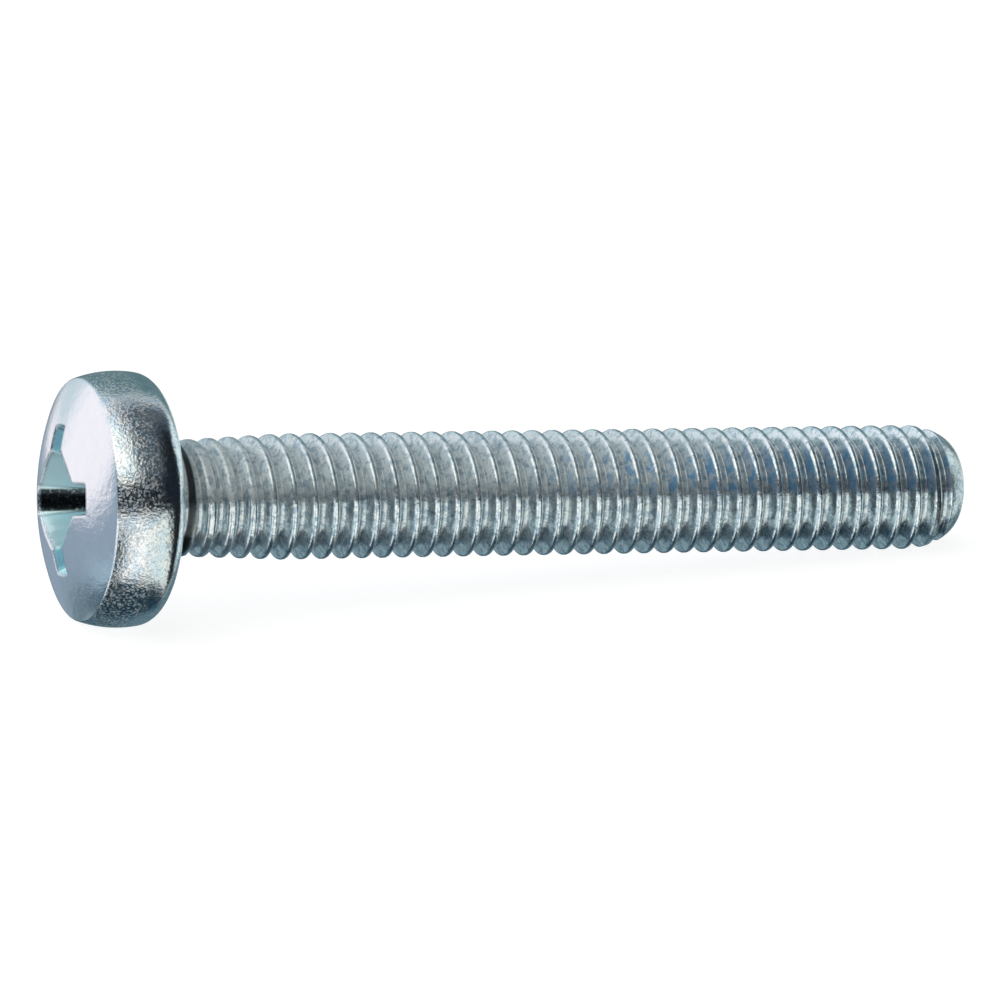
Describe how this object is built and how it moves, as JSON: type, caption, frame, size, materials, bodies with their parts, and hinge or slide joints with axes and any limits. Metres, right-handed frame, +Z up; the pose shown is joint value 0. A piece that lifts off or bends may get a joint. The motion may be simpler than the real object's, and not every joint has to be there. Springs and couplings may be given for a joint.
{
  "type": "machine screw",
  "caption": "Pan head machine screw with a cross recess and a right-hand metric thread up to the head, lying on its side.",
  "frame": {"origin": "on the surface that the screw lies on, under the middle of its length", "axes": "+X towards the screw's point, +Z up; the screw's axis falls 4.4 degrees from head to point because it rests on the rim of its head and a thread crest"},
  "size_m": [0.0447, 0.0118, 0.0118],
  "materials": {
    "zinc_plated_steel": "bright zinc plating with a faint blue tint, smooth on the crown and finely pitted round the side"
  },
  "bodies": {
    "root": {"machine_screw": "zinc_plated_steel"}
  },
  "joints": []
}
